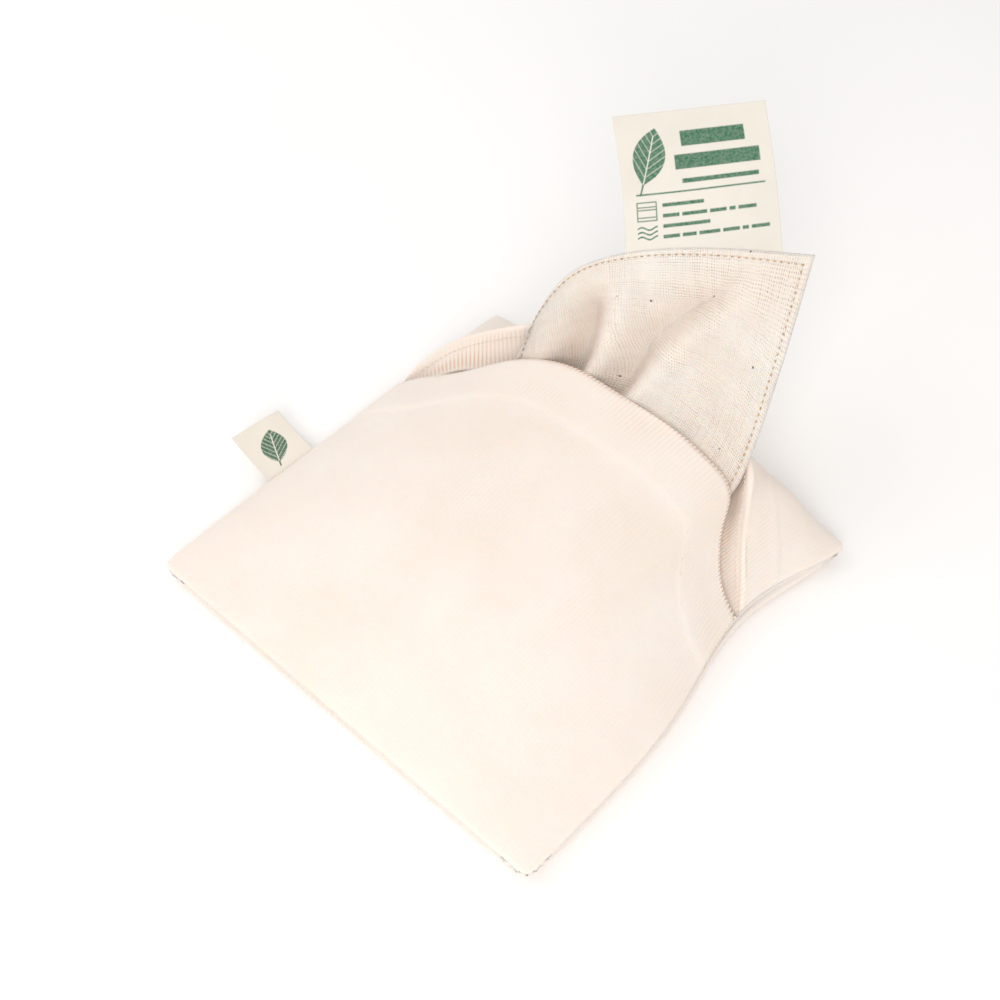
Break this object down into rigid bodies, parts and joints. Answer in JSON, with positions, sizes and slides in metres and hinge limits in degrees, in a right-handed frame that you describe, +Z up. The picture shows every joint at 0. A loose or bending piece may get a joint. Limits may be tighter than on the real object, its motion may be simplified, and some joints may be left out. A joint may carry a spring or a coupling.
{
  "type": "seed heat compress in a cloth cover",
  "caption": "Square seed-filled heat compress: a calico pillow with a sewn-in label, half drawn out of a soft velour envelope cover with a small side tag.",
  "frame": {"origin": "centre of the cover's resting face, on the surface that it lies on", "axes": "+Z up from the resting face, +X along the mouth from the tag's side seam to the other side seam, +Y from the cover's closed end to its mouth"},
  "size_m": [0.2058, 0.2378, 0.1222],
  "materials": {
    "velour": "natural cotton velour with a short soft pile and fine ribs",
    "calico": "unbleached plain-weave cotton with dark flecks",
    "label_cotton": "printed cotton tape",
    "tag_ribbon": "printed cotton ribbon, folded",
    "sewing_thread": "polyester sewing thread",
    "topstitch_thread": "cotton thread",
    "seeds": "dry seeds, matte"
  },
  "bodies": {
    "cover": {"back_panel": "velour", "front_panel": "velour", "rear_flap": "velour", "front_hem_thread": "sewing_thread", "rear_hem_thread": "sewing_thread", "left_seam_thread": "sewing_thread", "right_seam_thread": "sewing_thread", "closed_end_seam_thread": "sewing_thread", "flap_seam_thread": "sewing_thread"},
    "side_tag": {"side_tag": "tag_ribbon"},
    "pillow": {"pillow_front_cloth": "calico", "pillow_back_cloth": "calico", "seed_fill": "seeds", "pillow_top_thread": "topstitch_thread", "pillow_end_thread": "topstitch_thread", "pillow_left_thread": "topstitch_thread", "pillow_right_thread": "topstitch_thread"},
    "care_label": {"care_label": "label_cotton"}
  },
  "joints": [
    {"name": "pillow_slide", "type": "slide", "parent": "cover", "child": "pillow", "axis": [0, 0.9063, 0.4226], "range_m": [0, 0.17], "deforming": ["front_panel", "rear_flap", "front_hem_thread", "rear_hem_thread"]},
    {"name": "label_flip", "type": "hinge", "parent": "pillow", "child": "care_label", "pos_m": [-0.00304, 0.10405, 0.08559], "axis": [0.8313, 0.5337, 0.1551], "range_deg": [-60, 120], "stiffness_Nm_per_rad": 0.01},
    {"name": "tag_flip", "type": "hinge", "parent": "cover", "child": "side_tag", "pos_m": [-0.0922, -0.0255, 0.0065], "axis": [0, 1, 0], "range_deg": [-20, 100], "stiffness_Nm_per_rad": 0.01}
  ]
}
